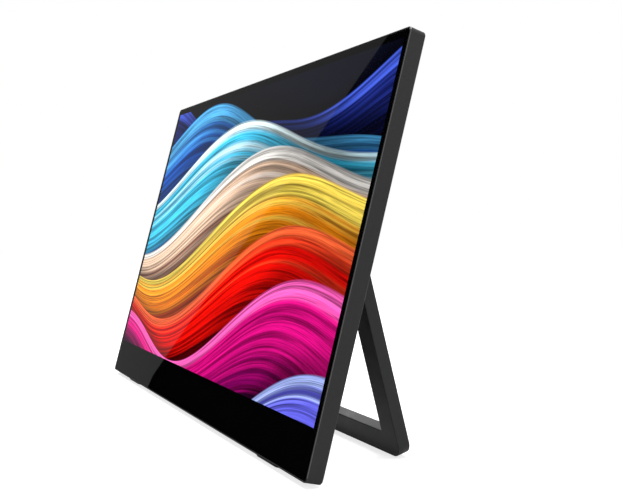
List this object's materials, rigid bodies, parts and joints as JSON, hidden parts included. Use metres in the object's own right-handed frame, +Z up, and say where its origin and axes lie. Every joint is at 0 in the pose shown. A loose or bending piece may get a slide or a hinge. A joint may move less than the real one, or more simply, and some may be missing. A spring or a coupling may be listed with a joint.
{
  "type": "portable monitor",
  "caption": "Thin portable touch monitor with a flat panel, a rear cover and a U-shaped stand that folds out of its back.",
  "frame": {"origin": "on the table under the middle of the part's box, with the stand open at its angle at rest", "axes": "+X along the screen to the viewer's right, +Y from the screen to the stand, +Z up"},
  "size_m": [0.354, 0.0748, 0.2195],
  "materials": {
    "cover_glass": "glossy toughened glass, black printed border behind it",
    "tape": "black foam tape",
    "clear_film": "clear film",
    "display_glass": "display glass",
    "circuit_board": "solder mask over glass fibre board",
    "cable_film": "amber film",
    "light_guide": "clear acrylic",
    "reflector": "white film",
    "led_strip": "light emitting diodes",
    "black_plastic": "moulded black plastic",
    "panel_metal": "plain sheet",
    "housing_metal": "dark grey anodised, fine satin",
    "cover_plastic": "dark grey, fine texture",
    "black_steel": "black zinc plated",
    "rubber": "black rubber",
    "chip_plastic": "black moulded",
    "shield_metal": "tinned sheet",
    "socket_metal": "nickel plated",
    "jack_plastic": "black moulded",
    "bright_steel": "zinc plated",
    "switch_plastic": "black moulded",
    "connector_plastic": "natural moulded",
    "button_plastic": "dark grey, fine texture",
    "clear_plastic": "clear",
    "cone": "black coated paper",
    "foam": "soft foam",
    "stand_metal": "dark grey anodised, fine satin",
    "washer_plastic": "low friction plastic",
    "hinge_steel": "plated spring steel"
  },
  "bodies": {
    "monitor": {"cover_glass": "cover_glass", "glass_tape": "tape", "touch_sensor": "clear_film", "lcd_cell": "display_glass", "panel_driver_board": "circuit_board", "panel_driver_films": "cable_film", "optical_films": "clear_film", "light_guide": "light_guide", "reflector_sheet": "reflector", "led_bar": "led_strip", "panel_frame": "black_plastic", "panel_back_plate": "panel_metal", "rear_housing": "housing_metal", "rear_cover": "cover_plastic", "cover_screws": "black_steel", "bottom_foot_right": "rubber", "bottom_foot_left": "rubber", "main_board": "circuit_board", "main_board_parts": "chip_plastic", "scaler_chip": "chip_plastic", "shield_can": "shield_metal", "touch_board": "circuit_board", "io_board": "circuit_board", "usb_socket_lower": "socket_metal", "usb_socket_upper": "socket_metal", "video_socket": "socket_metal", "audio_board": "circuit_board", "audio_jack": "jack_plastic", "board_screws": "bright_steel", "button_board": "circuit_board", "button_switches": "switch_plastic", "button_connector": "connector_plastic", "rocker_pin": "bright_steel", "light_pipe": "clear_plastic", "status_light": "led_strip", "speaker_box_right": "black_plastic", "speaker_box_left": "black_plastic", "speaker_cone_right": "cone", "speaker_cone_left": "cone", "speaker_gasket_right": "foam", "speaker_gasket_left": "foam", "display_cable": "cable_film", "backlight_cable": "cable_film", "touch_cable": "cable_film", "speaker_cable_right": "cable_film", "speaker_cable_left": "cable_film", "io_cable": "cable_film", "button_cable": "cable_film", "hinge_bracket_right": "hinge_steel", "hinge_bracket_left": "hinge_steel", "hinge_screws": "bright_steel"},
    "stand": {"stand_frame": "stand_metal", "stand_strip": "rubber", "hinge_pin_right": "bright_steel", "hinge_pin_left": "bright_steel", "hinge_washers": "washer_plastic", "retaining_clips": "bright_steel"},
    "power_button": {"power_button": "button_plastic"},
    "menu_rocker": {"menu_rocker": "button_plastic"}
  },
  "joints": [
    {"name": "stand_hinge", "type": "hinge", "parent": "monitor", "child": "stand", "pos_m": [0, 0.0047, 0.11035], "axis": [1, 0, 0], "range_deg": [-30, 40]},
    {"name": "power_button_press", "type": "slide", "parent": "monitor", "child": "power_button", "axis": [1, 0, 0], "range_m": [0, 0.0003], "stiffness_N_per_m": 4000, "springref_m": -0.0001},
    {"name": "menu_rocker_tip", "type": "hinge", "parent": "monitor", "child": "menu_rocker", "pos_m": [-0.17478, 0.00106, 0.12334], "axis": [0, 0.9659, -0.2588], "range_deg": [-2, 2], "stiffness_Nm_per_rad": 0.25}
  ]
}
